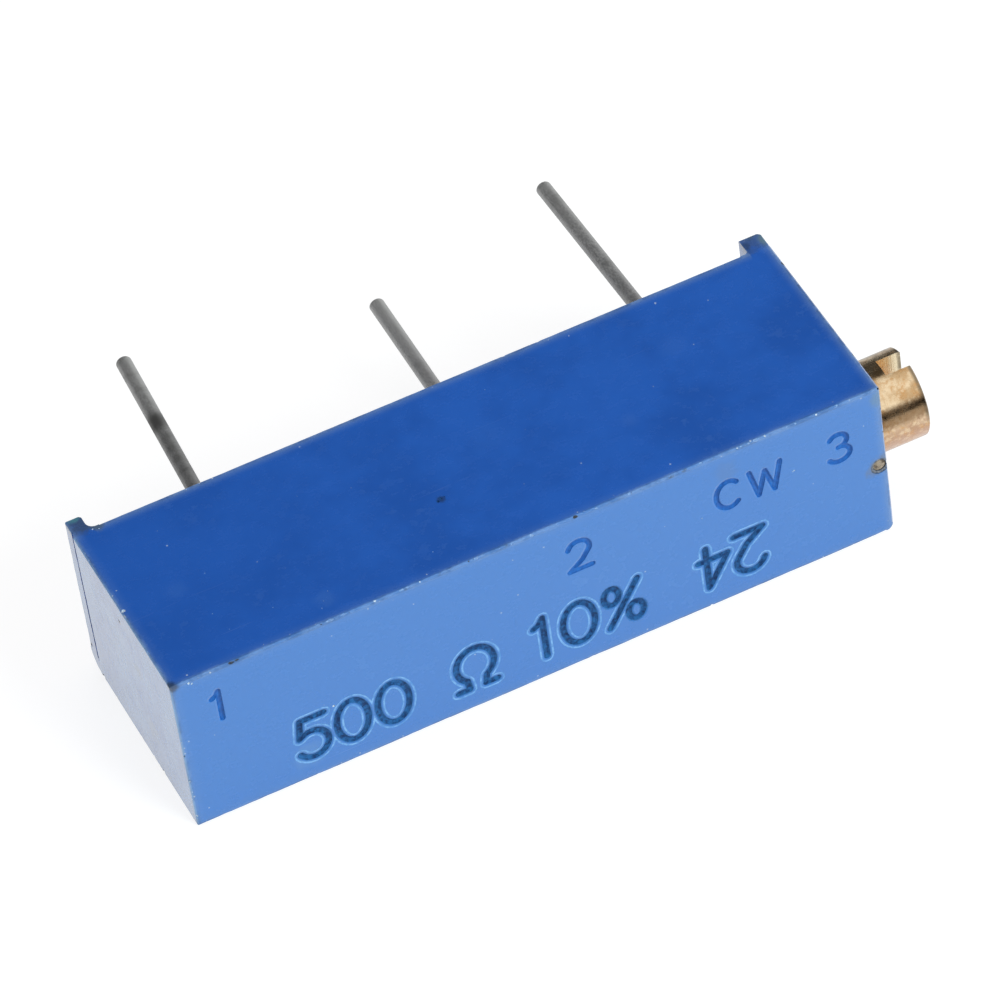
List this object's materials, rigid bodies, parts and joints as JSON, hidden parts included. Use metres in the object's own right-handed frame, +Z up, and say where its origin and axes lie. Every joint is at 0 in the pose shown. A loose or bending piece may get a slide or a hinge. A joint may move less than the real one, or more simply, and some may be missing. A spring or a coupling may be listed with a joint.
{
  "type": "trimmer potentiometer",
  "caption": "Rectangular multi-turn trimmer potentiometer with a slotted brass screw at one end, staggered wire pins and standing feet.",
  "frame": {"origin": "on the broad side that it rests on, at the middle of the housing's length and of its height between the marked face and the feet's tips", "axes": "+X along the housing to the screw's head, +Y from the marked face along the terminal pins, +Z up through the housing's width"},
  "size_m": [0.0206, 0.0124, 0.0049],
  "materials": {
    "blue_plastic": "satin",
    "base_epoxy": "satin",
    "brass": "worn",
    "seal_rubber": "matte",
    "pin_brass": "tarnished",
    "nylon": "matte",
    "spring_alloy": "bright",
    "alumina": "matte",
    "cermet_ink": "matte",
    "silver_ink": "matte",
    "tinned_wire": "dull",
    "solder": "satin"
  },
  "bodies": {
    "body": {"housing": "blue_plastic", "base_seal": "base_epoxy", "retaining_pin": "pin_brass", "element_substrate": "alumina", "resistive_track": "cermet_ink", "collector_track": "silver_ink", "termination_pad_1": "silver_ink", "termination_pad_3": "silver_ink", "terminal_pin_1": "tinned_wire", "terminal_pin_2": "tinned_wire", "terminal_pin_3": "tinned_wire", "solder_joint_1": "solder", "solder_joint_2": "solder", "solder_joint_3": "solder"},
    "screw": {"adjustment_screw": "brass", "shaft_seal_ring": "seal_rubber"},
    "carriage": {"carriage": "nylon", "wiper_contact": "spring_alloy"}
  },
  "joints": [
    {"name": "screw_turn", "type": "hinge", "parent": "body", "child": "screw", "pos_m": [0, -0.00142, 0.00247], "axis": [1, 0, 0], "range_deg": [-2700, 2700]},
    {"name": "carriage_slide", "type": "slide", "parent": "body", "child": "carriage", "axis": [1, 0, 0], "range_m": [-0.00595, 0.00595]}
  ],
  "couplings": [
    {"joint": "screw_turn", "follows": "carriage_slide", "rad_per_m": -7915.8}
  ]
}
